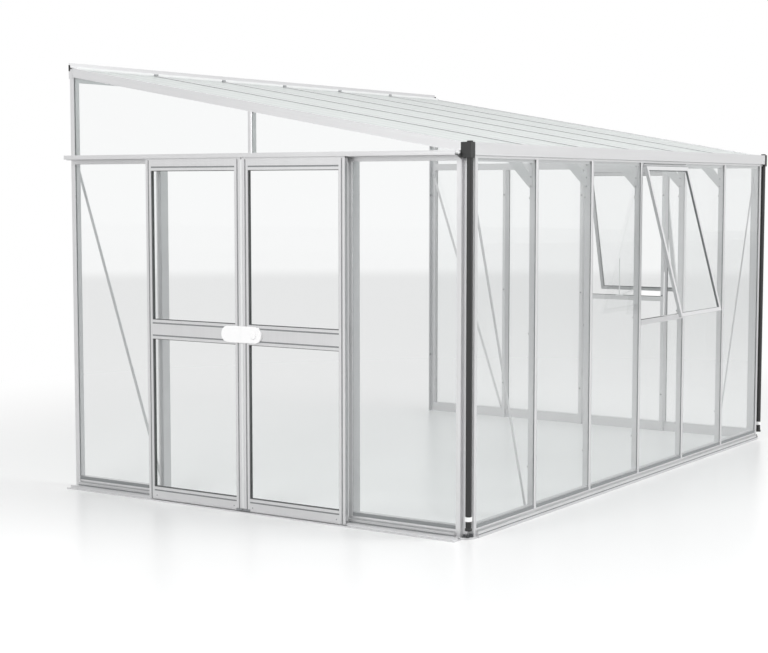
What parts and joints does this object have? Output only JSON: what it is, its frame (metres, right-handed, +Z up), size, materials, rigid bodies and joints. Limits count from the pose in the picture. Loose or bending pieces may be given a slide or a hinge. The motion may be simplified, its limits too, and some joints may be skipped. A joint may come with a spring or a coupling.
{
  "type": "lean-to greenhouse",
  "caption": "Lean-to greenhouse with aluminium glazing bars, glass walls, a pale twin-wall roof, sliding double doors and top-hung windows.",
  "frame": {"origin": "on the floor under the cap line of the long glazed side, at the middle of its length", "axes": "+X along the wall from the door gable to the far gable, +Y from the long glazed side towards the wall, +Z up"},
  "size_m": [4.8638, 3.2974, 2.7697],
  "materials": {
    "aluminium": "mill finish",
    "glass": "clear float",
    "roof_sheet": "twin-wall polycarbonate",
    "black_plastic": "moulded",
    "white_plastic": "moulded"
  },
  "bodies": {
    "frame": {"base_rail_long": "aluminium", "base_rail_doors": "aluminium", "base_rail_far": "aluminium", "corner_post_doors": "aluminium", "corner_post_far": "aluminium", "wall_posts": "aluminium", "long_post_1": "aluminium", "long_post_2": "aluminium", "long_post_3": "aluminium", "long_post_4": "aluminium", "long_post_5": "aluminium", "rafter_1": "aluminium", "rafter_2": "aluminium", "rafter_3": "aluminium", "rafter_4": "aluminium", "rafter_5": "aluminium", "gutter": "aluminium", "wall_plate": "aluminium", "verges": "aluminium", "transoms": "aluminium", "gable_posts_doors": "aluminium", "gable_posts_far": "aluminium", "door_hood": "aluminium", "door_track": "aluminium", "wind_braces": "aluminium", "knee_plates": "aluminium", "window_rails": "aluminium", "window_sashes": "aluminium", "glass_long": "glass", "glass_doors_gable": "glass", "glass_far_gable": "glass", "window_glass": "glass", "roof_sheets": "roof_sheet", "gutter_ends": "black_plastic", "downpipes": "black_plastic", "pipe_rings": "white_plastic", "window_stays": "white_plastic"},
    "left_door": {"left_door": "aluminium", "left_door_glass": "glass", "left_door_hangers": "black_plastic", "left_grip": "white_plastic"},
    "right_door": {"right_door": "aluminium", "right_door_glass": "glass", "right_door_hangers": "black_plastic", "right_grip": "white_plastic"}
  },
  "joints": [
    {"name": "left_door_slide", "type": "slide", "parent": "frame", "child": "left_door", "axis": [0, 1, 0], "range_m": [0, 0.68]},
    {"name": "right_door_slide", "type": "slide", "parent": "frame", "child": "right_door", "axis": [0, -1, 0], "range_m": [0, 0.68]}
  ]
}
